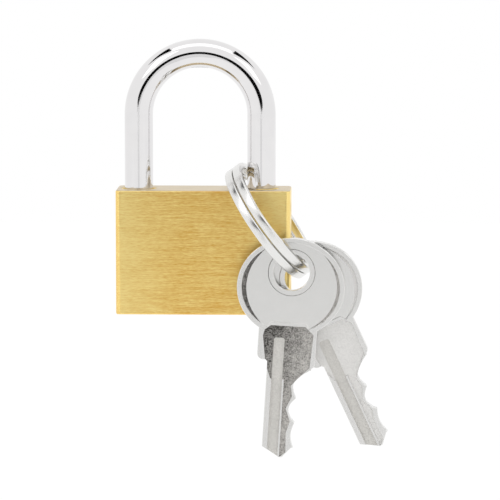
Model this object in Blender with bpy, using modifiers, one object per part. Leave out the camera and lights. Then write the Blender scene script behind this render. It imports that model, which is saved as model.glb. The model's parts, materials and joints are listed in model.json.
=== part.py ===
"""Brass pin-tumbler padlock with a chrome shackle, a split ring and two keys.

The origin is the underside of the shackle's crown, where a hasp would carry the lock.
+X is across the body, +Z is up, and the front face looks along -Y.
"""

from math import atan2, cos, pi, radians, sin

import bmesh
import bpy
from mathutils import Matrix, Vector

MM = 0.001

# Body block
BODY_WIDTH = 30.0 * MM
BODY_DEPTH = 9.5 * MM
BODY_HEIGHT = 21.45 * MM
BODY_OFFSET = 0.65 * MM
CORNER_RADIUS = 0.8 * MM
RIM_CHAMFER = 0.25 * MM

# Shackle
BAR_RADIUS = 2.45 * MM
LEG_MARGIN = 4.425 * MM
SHACKLE_CLEARANCE = 20.85 * MM
HEEL_DEPTH = 12.0 * MM
TOE_DEPTH = 6.0 * MM
HOLE_CLEARANCE = 0.5 * MM
HEEL_HOLE_DEPTH = 18.0 * MM
TOE_HOLE_DEPTH = 6.9 * MM
LEG_CHAMFER = 0.4 * MM
SHACKLE_TRAVEL = 6.3 * MM
GROOVE_DEPTH = 0.625 * MM

# Latch and its drive
LATCH_LEVEL = 3.6 * MM
LATCH_RADIUS = 1.2 * MM
LATCH_TRAVEL = 1.4 * MM
NOTCH_DEPTH = 1.35 * MM
LATCH_CHAMFER = 0.25 * MM
LATCH_HEEL_WALL = 1.0 * MM
LATCH_SPRING_WALL = 0.8 * MM
TAIL_RADIUS = 0.35 * MM
TAIL_ANGLE = radians(45)
TAIL_ROOT = 0.3 * MM
TAIL_RISE = 0.2 * MM

# Plug and pins
PLUG_X = -1.35 * MM
PLUG_RADIUS = 3.6 * MM
PLUG_TOP_DEPTH = 5.3 * MM
PLUG_CHAMFER = 0.15 * MM
PLUG_END_WALL = 0.7 * MM
PIN_RADIUS = 1.0 * MM
FIRST_PIN_HEIGHT = 4.2 * MM
PIN_PITCH = 4.3 * MM
DRIVER_LENGTH = 4.0 * MM
DRIVER_CHAMFER = 0.15 * MM
KEY_PIN_POINT = 0.3 * MM
KEY_PIN_SINK = 0.2 * MM
CAP_LENGTH = 3.0 * MM
SIDE_PIN_RADIUS = 0.65 * MM
BACK_PIN_RADIUS = 0.55 * MM
BACK_PIN_INNER = -3.2 * MM
BACK_PIN_DROP = 0.65 * MM

# Springs: radius to the wire's middle, wire radius, turns
PIN_SPRING = (0.75 * MM, 0.12 * MM, 6)
LATCH_SPRING = (0.8 * MM, 0.15 * MM, 5)
SHACKLE_SPRING = (1.9 * MM, 0.25 * MM, 5)

# Running fits
PIN_FIT = 0.1 * MM
END_GAP = 0.1 * MM
SPRING_GAP = 0.05 * MM
DRIVER_FIT = 0.15 * MM
NOTCH_FIT = 0.2 * MM
SINK = 0.1 * MM

# Split ring, set in from the block's side, off its middle and below its top
RING_RADIUS = 11.16 * MM
RING_WIRE_RADIAL = 1.2 * MM
RING_WIRE_AXIAL = 1.5 * MM
RING_LAYER_GAP = 0.15 * MM
RING_WIRE_CORNER = 0.2 * MM
RING_END_GAP = radians(3)
RING_INSET = 3.48 * MM
RING_FRONT = -1.94 * MM
RING_DROP = 5.383 * MM
RING_LEAN = radians(35.8)
RING_TURN = radians(6.4)
RING_JOG = radians(24.0)
RING_JOG_AT = radians(235.0)

# Keys: a runs from the hole's centre to the tip, b across towards the cuts
KEY_THICKNESS = 1.8 * MM
KEY_HOLE_RADIUS = 3.1 * MM
BOW_CENTRE = 2.6 * MM
BOW_HALF_LENGTH = 8.5 * MM
BOW_HALF_WIDTH = 9.2 * MM
NECK_HALF_WIDTH = 5.0 * MM
SHOULDER_BACK = 15.2 * MM
SHOULDER_CUT = 16.4 * MM
BLADE_BACK = 3.2 * MM
BLADE_CUT = 2.1 * MM
BLADE_END = 30.2 * MM
KEY_TIP = 31.9 * MM
TIP_B = 0.0 * MM
TIP_HALF_WIDTH = 0.3 * MM
CUT_ROOTS = (1.5 * MM, 0.95 * MM, 1.6 * MM)
CUT_SHARE = 0.49
RAMP_START = 0.15 * MM
RAMP_POWER = 1.7
SHOULDER_CORNER = 4.4 * MM
SHOULDER_RADIUS = 1.0 * MM
BLADE_OFFSET = 0.15 * MM
RIM_WIDTH = 0.75 * MM
COLLAR_RADIUS = 3.9 * MM
RECESS = 0.2 * MM
BLADE_GROOVE = (-2.2 * MM, -0.45 * MM)
GROOVE_START = 11.2 * MM
KEYWAY_FIT = 0.12 * MM
KEY_GAP = 0.25 * MM
FRONT_KEY_OUT = 0.35 * MM
FRONT_KEY_DROP = 13.6 * MM
FRONT_KEY_TILT = radians(-3.6)
BACK_KEY_OUT = 2.2 * MM
BACK_KEY_DROP = 14.75 * MM
BACK_KEY_TILT = radians(25.0)

# Facets
BORE_STEPS = 48
ROUND_STEPS = 32
SMALL_STEPS = 20
COLLAR_STEPS = 36
COIL_STEPS = 10
ARCH_STEPS = 28
RING_STEPS = 40
JOG_STEPS = 8
BOW_STEPS = 44
CORNER_STEPS = 4
RAMP_STEPS = 6
SHARP_ANGLE = radians(35)
WELD = 0.002 * MM

# Places that follow from the sizes
LEG_SPACING = BODY_WIDTH - 2 * LEG_MARGIN
BODY_TOP = -SHACKLE_CLEARANCE
BODY_BOTTOM = BODY_TOP - BODY_HEIGHT
HEEL_X = -LEG_SPACING / 2
TOE_X = LEG_SPACING / 2
LEG_HOLE_RADIUS = BAR_RADIUS + HOLE_CLEARANCE
RING_SIDE_X = BODY_OFFSET + BODY_WIDTH / 2
HEEL_SIDE_X = BODY_OFFSET - BODY_WIDTH / 2
FRONT_Y = -BODY_DEPTH / 2
THROUGH = 1.0 * MM
LATCH_Z = BODY_TOP - LATCH_LEVEL
TAIL_THROW = LATCH_TRAVEL / (2 * sin(TAIL_ANGLE))
TAIL_REACH = TAIL_THROW * cos(TAIL_ANGLE)
TAIL_TOP = LATCH_Z + TAIL_RISE
LATCH_TIP = TOE_X - BAR_RADIUS - 2 * PIN_FIT
LATCH_BACK = PLUG_X - TAIL_REACH - TAIL_RADIUS - LATCH_HEEL_WALL
LATCH_BORE_END = HEEL_X + LEG_HOLE_RADIUS + LATCH_SPRING_WALL
PLUG_TOP = BODY_TOP - PLUG_TOP_DEPTH
PLUG_SIDE = PLUG_X + PLUG_RADIUS
PIN_LEVELS = [BODY_BOTTOM + FIRST_PIN_HEIGHT + i * PIN_PITCH for i in range(len(CUT_ROOTS))]
BACK_PIN_Z = PLUG_TOP - BACK_PIN_DROP - BACK_PIN_RADIUS - PIN_FIT
DRIVER_START = PLUG_SIDE + DRIVER_FIT
SPRING_START = DRIVER_START + DRIVER_LENGTH + SPRING_GAP
CAP_END = RING_SIDE_X - SINK
CAP_START = CAP_END - CAP_LENGTH
FIRST_CUT = SHOULDER_BACK + FIRST_PIN_HEIGHT
BACK_KEY_Y = FRONT_Y - KEY_GAP - KEY_THICKNESS / 2
FRONT_KEY_Y = BACK_KEY_Y - KEY_GAP - KEY_THICKNESS
RING_CENTRE = Vector((RING_SIDE_X - RING_INSET, RING_FRONT, BODY_TOP - RING_DROP))
FRONT_KEY_HOLE = Vector((RING_SIDE_X + FRONT_KEY_OUT, FRONT_KEY_Y, BODY_TOP - FRONT_KEY_DROP))
BACK_KEY_HOLE = Vector((RING_SIDE_X + BACK_KEY_OUT, BACK_KEY_Y, BODY_TOP - BACK_KEY_DROP))

BRASS = ("brass", (0.79, 0.53, 0.19), 0.32, 1.0)
DARK_BRASS = ("turned_brass", (0.72, 0.47, 0.17), 0.35, 1.0)
CHROME = ("chrome", (0.85, 0.85, 0.86), 0.08, 1.0)
STEEL = ("spring_steel", (0.55, 0.56, 0.58), 0.3, 1.0)
NICKEL = ("nickel", (0.8, 0.79, 0.77), 0.18, 1.0)


def clear_scene():
    for obj in list(bpy.data.objects):
        bpy.data.objects.remove(obj)


def new_collection(name):
    collection = bpy.data.collections.new(name)
    bpy.context.scene.collection.children.link(collection)
    return collection


def material(name, colour, roughness, metallic):
    found = bpy.data.materials.get(name)
    if found:
        return found
    made = bpy.data.materials.new(name)
    made.use_nodes = True
    shader = made.node_tree.nodes["Principled BSDF"]
    shader.inputs["Base Color"].default_value = (*colour, 1.0)
    shader.inputs["Roughness"].default_value = roughness
    shader.inputs["Metallic"].default_value = metallic
    return made


def finish(name, mesh, look, location=(0, 0, 0)):
    """A named part from a mesh whose points are relative to the location."""
    obj = bpy.data.objects.new(name, mesh)
    obj.location = location
    mesh.materials.clear()
    mesh.materials.append(material(*look))
    mesh.shade_smooth()
    mesh.set_sharp_from_angle(angle=SHARP_ANGLE)
    PARTS.objects.link(obj)
    return obj


def mesh_from(build, name="shape"):
    mesh = bpy.data.meshes.new(name)
    bm = bmesh.new()
    build(bm)
    bmesh.ops.recalc_face_normals(bm, faces=bm.faces[:])
    bm.to_mesh(mesh)
    bm.free()
    return mesh


def rod_mesh(start, end, radius, steps, chamfer=0.0):
    """A round rod between two points, with its two rims chamfered."""
    start = Vector(start)
    along = Vector(end) - start
    turn = Vector((0, 0, 1)).rotation_difference(along).to_matrix().to_4x4()
    place = Matrix.Translation(start + along / 2) @ turn

    def build(bm):
        bmesh.ops.create_cone(
            bm, cap_ends=True, segments=steps, radius1=radius, radius2=radius, depth=along.length, matrix=place
        )
        if chamfer:
            rims = [e for e in bm.edges if sum(len(f.verts) > 4 for f in e.link_faces) == 1]
            bmesh.ops.bevel(bm, geom=rims, offset=chamfer, segments=1, affect="EDGES")

    return mesh_from(build)


def box_mesh(low, high):
    low, high = Vector(low), Vector(high)
    size = Matrix.Diagonal((*(high - low), 1.0))
    place = Matrix.Translation((low + high) / 2) @ size
    return mesh_from(lambda bm: bmesh.ops.create_cube(bm, size=1.0, matrix=place))


def cutter(mesh):
    obj = bpy.data.objects.new("cutter", mesh)
    obj.hide_render = True
    obj.display_type = "WIRE"
    CUTTERS.objects.link(obj)
    return obj


def apply_booleans(obj, meshes, operation="DIFFERENCE"):
    """Cuts the part with each mesh in turn, all given in world space, and keeps the result as its mesh."""
    for mesh in meshes:
        modifier = obj.modifiers.new("cut", "BOOLEAN")
        modifier.operation = operation
        modifier.object = cutter(mesh)
    bpy.context.view_layer.update()
    graph = bpy.context.evaluated_depsgraph_get()
    made = bpy.data.meshes.new_from_object(obj.evaluated_get(graph))
    obj.modifiers.clear()
    look = obj.data.materials[0]
    obj.data = made
    made.materials.clear()
    made.materials.append(look)
    made.shade_smooth()
    made.set_sharp_from_angle(angle=SHARP_ANGLE)
    return obj


def curve_to_mesh(curve_obj, helpers=()):
    """The solid of a curve object with its loose caps welded, in world space."""
    bpy.context.view_layer.update()
    graph = bpy.context.evaluated_depsgraph_get()
    mesh = bpy.data.meshes.new_from_object(curve_obj.evaluated_get(graph))
    mesh.transform(curve_obj.matrix_world)
    bm = bmesh.new()
    bm.from_mesh(mesh)
    bmesh.ops.remove_doubles(bm, verts=bm.verts[:], dist=WELD)
    bmesh.ops.recalc_face_normals(bm, faces=bm.faces[:])
    bm.to_mesh(mesh)
    bm.free()
    for obj in (curve_obj, *helpers):
        bpy.data.objects.remove(obj)
    return mesh


def wire_mesh(points, radius, resolution):
    """A round wire along a list of points."""
    curve = bpy.data.curves.new("wire", "CURVE")
    curve.dimensions = "3D"
    curve.bevel_depth = radius
    curve.bevel_resolution = resolution
    curve.use_fill_caps = True
    spline = curve.splines.new("POLY")
    spline.points.add(len(points) - 1)
    for point, place in zip(spline.points, points):
        point.co = (*place, 1.0)
    obj = bpy.data.objects.new("wire", curve)
    PARTS.objects.link(obj)
    return curve_to_mesh(obj)


def plate_mesh(outlines, thickness, place):
    """A flat plate from closed (a, b) outlines; inner outlines are its holes."""
    curve = bpy.data.curves.new("plate", "CURVE")
    curve.dimensions = "2D"
    curve.fill_mode = "BOTH"
    curve.extrude = thickness / 2
    for outline in outlines:
        spline = curve.splines.new("POLY")
        spline.points.add(len(outline) - 1)
        spline.use_cyclic_u = True
        for point, (across, up) in zip(spline.points, outline):
            point.co = (across, up, 0.0, 1.0)
    obj = bpy.data.objects.new("plate", curve)
    obj.matrix_world = place
    PARTS.objects.link(obj)
    return curve_to_mesh(obj)


def centred(mesh, origin):
    """Moves a world-space mesh so that its object can sit at the origin given."""
    mesh.transform(Matrix.Translation(-Vector(origin)))
    return mesh


def lock_body():
    def build(bm):
        size = Matrix.Diagonal((BODY_WIDTH, BODY_DEPTH, BODY_HEIGHT, 1.0))
        place = Matrix.Translation((BODY_OFFSET, 0, (BODY_TOP + BODY_BOTTOM) / 2))
        bmesh.ops.create_cube(bm, size=1.0, matrix=place @ size)
        upright = [e for e in bm.edges if abs((e.verts[0].co - e.verts[1].co).z) > BODY_HEIGHT / 2]
        bmesh.ops.bevel(bm, geom=upright, offset=CORNER_RADIUS, segments=5, profile=0.5, affect="EDGES")
        rims = [e for e in bm.edges if sum(abs(f.normal.z) > 0.9 for f in e.link_faces) == 1]
        bmesh.ops.bevel(bm, geom=rims, offset=RIM_CHAMFER, segments=2, profile=0.5, affect="EDGES")

    body = finish("lock_body", mesh_from(build), BRASS)
    bore = PIN_RADIUS + PIN_FIT
    latch_bore = LATCH_RADIUS + PIN_FIT
    plug_bore = PLUG_RADIUS + PIN_FIT
    latch_end = (RING_SIDE_X + THROUGH, 0, LATCH_Z)
    side_pin_bore = SIDE_PIN_RADIUS + PIN_FIT
    cam_pocket = TAIL_THROW + TAIL_RADIUS + 2 * PIN_FIT
    back_pin_start = (PLUG_SIDE, BACK_PIN_INNER - PIN_FIT, BACK_PIN_Z)
    back_pin_end = (PLUG_SIDE, -FRONT_Y + THROUGH, BACK_PIN_Z)
    above = BODY_TOP + THROUGH
    cuts = [
        rod_mesh((HEEL_X, 0, BODY_TOP - HEEL_HOLE_DEPTH), (HEEL_X, 0, above), LEG_HOLE_RADIUS, BORE_STEPS),
        rod_mesh((TOE_X, 0, BODY_TOP - TOE_HOLE_DEPTH), (TOE_X, 0, above), LEG_HOLE_RADIUS, BORE_STEPS),
        rod_mesh((PLUG_X, 0, BODY_BOTTOM - THROUGH), (PLUG_X, 0, PLUG_TOP + END_GAP), plug_bore, BORE_STEPS),
        rod_mesh((PLUG_X, 0, PLUG_TOP - END_GAP), (PLUG_X, 0, LATCH_Z + TAIL_RADIUS), cam_pocket, ROUND_STEPS),
        rod_mesh((LATCH_BORE_END, 0, LATCH_Z), latch_end, latch_bore, ROUND_STEPS),
        rod_mesh((HEEL_SIDE_X - THROUGH, 0, LATCH_Z), (HEEL_X, 0, LATCH_Z), side_pin_bore, SMALL_STEPS),
        rod_mesh(back_pin_start, back_pin_end, BACK_PIN_RADIUS + PIN_FIT, SMALL_STEPS),
    ]
    for level in PIN_LEVELS:
        cuts.append(rod_mesh((PLUG_X, 0, level), (RING_SIDE_X + THROUGH, 0, level), bore, SMALL_STEPS))
    apply_booleans(body, cuts)


def shackle():
    centre_z = BAR_RADIUS - TOE_X
    arch = []
    for i in range(ARCH_STEPS + 1):
        angle = pi * i / ARCH_STEPS
        arch.append((TOE_X * cos(angle), 0, centre_z + TOE_X * sin(angle)))
    points = [(TOE_X, 0, BODY_TOP - TOE_DEPTH), *arch, (HEEL_X, 0, BODY_TOP - HEEL_DEPTH)]
    mesh = wire_mesh(points, BAR_RADIUS, 10)
    bm = bmesh.new()
    bm.from_mesh(mesh)
    rims = [e for e in bm.edges if sum(f.normal.z < -0.99 for f in e.link_faces) == 1]
    bmesh.ops.bevel(bm, geom=rims, offset=LEG_CHAMFER, segments=1, affect="EDGES")
    bm.to_mesh(mesh)
    bm.free()
    part = finish("shackle", mesh, CHROME)
    apply_booleans(part, [groove_mesh(), latch_notch_mesh()])


def groove_mesh():
    """The ring that is turned off the heel leg, so that the side pin holds it through its whole travel."""
    top = LATCH_Z + SIDE_PIN_RADIUS + END_GAP
    bottom = LATCH_Z - SIDE_PIN_RADIUS - END_GAP - SHACKLE_TRAVEL
    inner = BAR_RADIUS - GROOVE_DEPTH
    outer = BAR_RADIUS + HOLE_CLEARANCE
    return turned_mesh([(outer, top), (outer, bottom), (inner, bottom), (inner, top)], HEEL_X)


def turned_mesh(profile, centre_x):
    """A ring turned about an upright axis, from a closed (radius, height) profile."""
    mesh = bpy.data.meshes.new("profile")
    bm = bmesh.new()
    verts = [bm.verts.new((radius, 0, height)) for radius, height in profile]
    for first, second in zip(verts, verts[1:] + verts[:1]):
        bm.edges.new((first, second))
    bm.to_mesh(mesh)
    bm.free()
    obj = bpy.data.objects.new("profile", mesh)
    obj.location = (centre_x, 0, 0)
    PARTS.objects.link(obj)
    screw = obj.modifiers.new("turn", "SCREW")
    screw.steps = ROUND_STEPS
    screw.render_steps = ROUND_STEPS
    screw.use_merge_vertices = True
    screw.merge_threshold = WELD
    return curve_to_mesh(obj)


def latch_notch_mesh():
    half = LATCH_RADIUS + PIN_FIT + NOTCH_FIT
    inner = TOE_X - BAR_RADIUS
    return box_mesh(
        (inner - THROUGH, -BAR_RADIUS - THROUGH, LATCH_Z - half),
        (inner + NOTCH_DEPTH + NOTCH_FIT, BAR_RADIUS + THROUGH, LATCH_Z + half),
    )


def coil(name, start, end, sizes):
    """A compression spring between two points, with a closed turn at each end."""
    radius, wire, turns = sizes
    start, end = Vector(start), Vector(end)
    along = end - start
    turn = Vector((0, 0, 1)).rotation_difference(along).to_matrix()
    steps = int(turns * COIL_STEPS)
    run = along.length - 2 * wire
    points = []
    for i in range(steps + 1):
        angle = 2 * pi * i / COIL_STEPS
        height = wire + run * i / steps
        points.append(start + turn @ Vector((radius * cos(angle), radius * sin(angle), height)))
    return finish(name, centred(wire_mesh(points, wire, 1), start), STEEL, start)


def plug():
    """The turning cylinder, made with its pins towards +X and then turned to its unlocked place."""
    bottom = BODY_BOTTOM + SINK
    body = rod_mesh((PLUG_X, 0, bottom), (PLUG_X, 0, PLUG_TOP), PLUG_RADIUS, BORE_STEPS, PLUG_CHAMFER)
    tail_at = (PLUG_X + TAIL_REACH, TAIL_THROW * sin(TAIL_ANGLE))
    tail = rod_mesh((*tail_at, PLUG_TOP - TAIL_ROOT), (*tail_at, TAIL_TOP), TAIL_RADIUS, SMALL_STEPS)
    part = finish("plug", body, DARK_BRASS)
    apply_booleans(part, [tail], "UNION")
    half_slot = KEY_THICKNESS / 2 + KEYWAY_FIT
    slot = box_mesh(
        (PLUG_X - BLADE_BACK - KEYWAY_FIT, -half_slot, bottom - THROUGH),
        (PLUG_X + BLADE_CUT + KEYWAY_FIT, half_slot, PLUG_TOP - PLUG_END_WALL),
    )
    groove_half = BACK_PIN_RADIUS + PIN_FIT
    inner = PLUG_RADIUS - groove_half
    outer = PLUG_RADIUS + THROUGH
    groove = turned_mesh(
        [
            (outer, BACK_PIN_Z + groove_half),
            (outer, BACK_PIN_Z - groove_half),
            (inner, BACK_PIN_Z - groove_half),
            (inner, BACK_PIN_Z + groove_half),
        ],
        PLUG_X,
    )
    cuts = [slot, groove]
    for level in PIN_LEVELS:
        end = (PLUG_SIDE + THROUGH, 0, level)
        cuts.append(rod_mesh((PLUG_X, 0, level), end, PIN_RADIUS + PIN_FIT, SMALL_STEPS))
    apply_booleans(part, cuts)
    home = (PLUG_X, 0, 0)
    centred(part.data, home).transform(Matrix.Rotation(pi / 2, 4, "Z"))
    part.location = home


def latch():
    """The sliding bolt, drawn back clear of the shackle, with a cross slot for the plug's tail."""
    start = (LATCH_BACK, 0, LATCH_Z)
    bolt = rod_mesh(start, (LATCH_TIP, 0, LATCH_Z), LATCH_RADIUS, ROUND_STEPS, LATCH_CHAMFER)
    part = finish("latch", bolt, STEEL)
    tail_x = PLUG_X - TAIL_REACH
    half = TAIL_RADIUS + 2 * PIN_FIT
    slot = box_mesh(
        (tail_x - half, -LATCH_RADIUS - THROUGH, LATCH_Z - LATCH_RADIUS - THROUGH),
        (tail_x + half, LATCH_RADIUS + THROUGH, TAIL_TOP + PIN_FIT),
    )
    apply_booleans(part, [slot])


def latch_spring_and_cap():
    start = (LATCH_BORE_END + SPRING_GAP, 0, LATCH_Z)
    coil("latch_spring", start, (LATCH_BACK - SPRING_GAP, 0, LATCH_Z), LATCH_SPRING)
    start = (TOE_X + LEG_HOLE_RADIUS + PIN_FIT, 0, LATCH_Z)
    cap = rod_mesh(start, (CAP_END, 0, LATCH_Z), LATCH_RADIUS, ROUND_STEPS)
    finish("latch_bore_cap", cap, DARK_BRASS)


def retaining_pins():
    inner = HEEL_X - (BAR_RADIUS - GROOVE_DEPTH) - DRIVER_FIT
    side_pin = rod_mesh((HEEL_SIDE_X + SINK, 0, LATCH_Z), (inner, 0, LATCH_Z), SIDE_PIN_RADIUS, SMALL_STEPS)
    finish("shackle_retaining_pin", side_pin, DARK_BRASS)
    start = (PLUG_SIDE, BACK_PIN_INNER, BACK_PIN_Z)
    back_pin = rod_mesh(start, (PLUG_SIDE, -FRONT_Y - SINK, BACK_PIN_Z), BACK_PIN_RADIUS, SMALL_STEPS)
    finish("plug_retaining_pin", back_pin, DARK_BRASS)


def pin_stacks():
    outer = PLUG_RADIUS - KEY_PIN_SINK
    for number, (level, root) in enumerate(zip(PIN_LEVELS, CUT_ROOTS), start=1):
        start = (PLUG_X, root + BLADE_OFFSET, level)
        key_pin = rod_mesh(start, (PLUG_X, outer, level), PIN_RADIUS, SMALL_STEPS, KEY_PIN_POINT)
        finish(f"key_pin_{number}", key_pin, DARK_BRASS)
        end = (DRIVER_START + DRIVER_LENGTH, 0, level)
        driver = rod_mesh((DRIVER_START, 0, level), end, PIN_RADIUS, SMALL_STEPS, DRIVER_CHAMFER)
        finish(f"driver_pin_{number}", driver, STEEL)
        end = (CAP_START - SPRING_GAP, 0, level)
        coil(f"pin_spring_{number}", (SPRING_START, 0, level), end, PIN_SPRING)
        cap = rod_mesh((CAP_START, 0, level), (CAP_END, 0, level), PIN_RADIUS, SMALL_STEPS)
        finish(f"chamber_cap_{number}", cap, DARK_BRASS)


def ring_axes():
    """The ring's own directions: down its long side, across its front, and along its axis."""
    down = Vector((sin(RING_LEAN), 0, -cos(RING_LEAN)))
    side = Vector((-cos(RING_LEAN), 0, -sin(RING_LEAN)))
    front = Vector((0, -1, 0)) * cos(RING_TURN) + side * sin(RING_TURN)
    return down, front, down.cross(front)


def wire_section():
    """The flat wire's outline, with its corners cut."""
    half_r, half_a = RING_WIRE_RADIAL / 2, RING_WIRE_AXIAL / 2
    section = []
    for sx, sy in ((1, 1), (-1, 1), (-1, -1), (1, -1)):
        side = (sx * half_r, sy * (half_a - RING_WIRE_CORNER))
        end = (sx * (half_r - RING_WIRE_CORNER), sy * half_a)
        section += (side, end) if sx * sy > 0 else (end, side)
    return section


def ring_mesh():
    """Two flat turns of wire, one above the other, with a jog where the wire steps from one to the next."""
    layer = (RING_WIRE_AXIAL + RING_LAYER_GAP) / 2
    centre_line = RING_RADIUS - RING_WIRE_RADIAL / 2
    half_jog = RING_JOG / 2
    first = half_jog + RING_END_GAP
    last = 4 * pi - first
    flat = 2 * pi - half_jog - first
    turns = [first + flat * i / RING_STEPS for i in range(RING_STEPS)]
    turns += [2 * pi - half_jog + RING_JOG * i / JOG_STEPS for i in range(JOG_STEPS)]
    turns += [last - flat + flat * i / RING_STEPS for i in range(RING_STEPS + 1)]
    points = []
    for angle in turns:
        step = min(max((angle - 2 * pi) / half_jog, -1.0), 1.0)
        height = layer * sin(step * pi / 2)
        place = angle + RING_JOG_AT
        points.append((centre_line * cos(place), centre_line * sin(place), height))
    section = wire_section()
    profile = bpy.data.curves.new("section", "CURVE")
    profile.dimensions = "2D"
    spline = profile.splines.new("POLY")
    spline.points.add(len(section) - 1)
    spline.use_cyclic_u = True
    for point, (across, up) in zip(spline.points, section):
        point.co = (across, up, 0, 1)
    profile_obj = bpy.data.objects.new("section", profile)
    PARTS.objects.link(profile_obj)
    curve = bpy.data.curves.new("ring", "CURVE")
    curve.dimensions = "3D"
    curve.twist_mode = "Z_UP"
    curve.bevel_mode = "OBJECT"
    curve.bevel_object = profile_obj
    curve.use_fill_caps = True
    spline = curve.splines.new("POLY")
    spline.points.add(len(points) - 1)
    for point, place in zip(spline.points, points):
        point.co = (*place, 1)
    obj = bpy.data.objects.new("ring", curve)
    down, front, axis = ring_axes()
    frame = Matrix((down, front, axis)).transposed().to_4x4()
    obj.matrix_world = Matrix.Translation(RING_CENTRE) @ frame
    PARTS.objects.link(obj)
    return curve_to_mesh(obj, [profile_obj])


def ring_top():
    down, _, _ = ring_axes()
    return RING_CENTRE - down * (RING_RADIUS - RING_WIRE_RADIAL)


def split_ring():
    finish("split_ring", centred(ring_mesh(), ring_top()), NICKEL, ring_top())


def arc(centre, radii, start, end, steps):
    for i in range(steps + 1):
        angle = start + (end - start) * i / steps
        yield centre[0] + radii[0] * cos(angle), centre[1] + radii[1] * sin(angle)


def bow_outline(inset, neck_end):
    """The round bow with its straight neck, as (b, -a) points; the inset shrinks it all round."""
    half_w, half_l = BOW_HALF_WIDTH - inset, BOW_HALF_LENGTH - inset
    neck = NECK_HALF_WIDTH - inset
    open_angle = atan2(-(1 - (neck / half_w) ** 2) ** 0.5, neck / half_w)
    points = list(arc((0, -BOW_CENTRE), (half_w, half_l), open_angle, pi - open_angle, BOW_STEPS))
    return points + [(-neck, -neck_end), (neck, -neck_end)]


def shoulder_corner(side, end, start):
    """The rounded corner where the neck stops above the blade."""
    radius = SHOULDER_RADIUS
    centre = (side * (NECK_HALF_WIDTH - radius), radius - end)
    return list(arc(centre, (radius, radius), start, start + pi / 2, CORNER_STEPS))


def cut_edge():
    """The blade's cut side: three scalloped cuts below a ramp, from the tip upwards."""
    edge = []
    for number, root in enumerate(CUT_ROOTS):
        for i in range(-CORNER_STEPS, CORNER_STEPS + 1):
            share = i / CORNER_STEPS
            if number or share >= 0:
                a = FIRST_CUT + (number + share * CUT_SHARE) * PIN_PITCH
                edge.append((root + (BLADE_CUT - root) * share**2, -a))
    ramp_start = SHOULDER_CUT + RAMP_START
    for i in range(RAMP_STEPS):
        share = i / RAMP_STEPS
        rise = (SHOULDER_CORNER - CUT_ROOTS[0]) * (1 - share) ** RAMP_POWER
        edge.append((CUT_ROOTS[0] + rise, -(ramp_start + (FIRST_CUT - ramp_start) * share)))
    return sorted(edge, key=lambda point: point[1])


def key_outline():
    """Bow, neck, shoulders and cut blade, as (b, -a) points; the blade's cut side is at +b."""
    points = bow_outline(0.0, SHOULDER_BACK)[:-2]
    points += shoulder_corner(-1, SHOULDER_BACK, pi)
    points.append((-BLADE_BACK, -SHOULDER_BACK))
    points.append((-BLADE_BACK, -BLADE_END))
    points.append((TIP_B - TIP_HALF_WIDTH, -KEY_TIP))
    points.append((TIP_B + TIP_HALF_WIDTH, -KEY_TIP))
    points.append((BLADE_CUT - TIP_HALF_WIDTH, -BLADE_END))
    points += cut_edge()
    points += shoulder_corner(1, SHOULDER_CUT, 1.5 * pi)
    return points


def circle_outline(radius, steps):
    return [(radius * cos(2 * pi * i / steps), radius * sin(2 * pi * i / steps)) for i in range(steps)]


def key(name, hole, tilt):
    """A key hanging from its hole; tilt turns the tip towards +X."""
    down = Vector((sin(tilt), 0, -cos(tilt)))
    across = Vector((cos(tilt), 0, sin(tilt)))
    frame = Matrix((across, -down, Vector((0, -1, 0)))).transposed().to_4x4()
    opening = circle_outline(KEY_HOLE_RADIUS, ROUND_STEPS)[::-1]
    blank = plate_mesh([key_outline(), opening], KEY_THICKNESS, Matrix())
    part = finish(name, blank, NICKEL)
    cuts = []
    deep = THROUGH / 2
    collar = circle_outline(COLLAR_RADIUS, COLLAR_STEPS)[::-1]
    recess = bow_outline(RIM_WIDTH, SHOULDER_BACK - 2 * RIM_WIDTH)
    groove = [(b, -a) for b, a in (
        (BLADE_GROOVE[0], KEY_TIP + THROUGH),
        (BLADE_GROOVE[1], KEY_TIP + THROUGH),
        (BLADE_GROOVE[1], GROOVE_START),
        (BLADE_GROOVE[0], GROOVE_START),
    )]
    for side in (1, -1):
        shift = KEY_THICKNESS / 2 - RECESS + deep
        out = Matrix.Translation((0, 0, side * shift))
        cuts.append(plate_mesh([recess, collar], 2 * deep, out))
    out = Matrix.Translation((0, 0, KEY_THICKNESS / 2 - 3 * RECESS + deep))
    cuts.append(plate_mesh([groove], 2 * deep, out))
    apply_booleans(part, cuts)
    part.data.transform(frame)
    part.location = hole


def keys():
    key("key_back", BACK_KEY_HOLE, BACK_KEY_TILT)
    key("key_front", FRONT_KEY_HOLE, FRONT_KEY_TILT)


def shackle_spring():
    low = (HEEL_X, 0, BODY_TOP - HEEL_HOLE_DEPTH + SPRING_GAP)
    high = (HEEL_X, 0, BODY_TOP - HEEL_DEPTH - SPRING_GAP)
    coil("shackle_spring", low, high, SHACKLE_SPRING)


clear_scene()
PARTS = new_collection("padlock")
CUTTERS = new_collection("cutters")
CUTTERS.hide_render = True
lock_body()
shackle()
shackle_spring()
retaining_pins()
plug()
latch()
latch_spring_and_cap()
pin_stacks()
split_ring()
keys()
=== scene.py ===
"""A small brass padlock with a chrome shackle, a split ring and two nickel keys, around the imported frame."""

import json
from math import atan2, cos, pi, radians, sin

import bmesh
import bpy
from mathutils import Matrix, Vector


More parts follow.
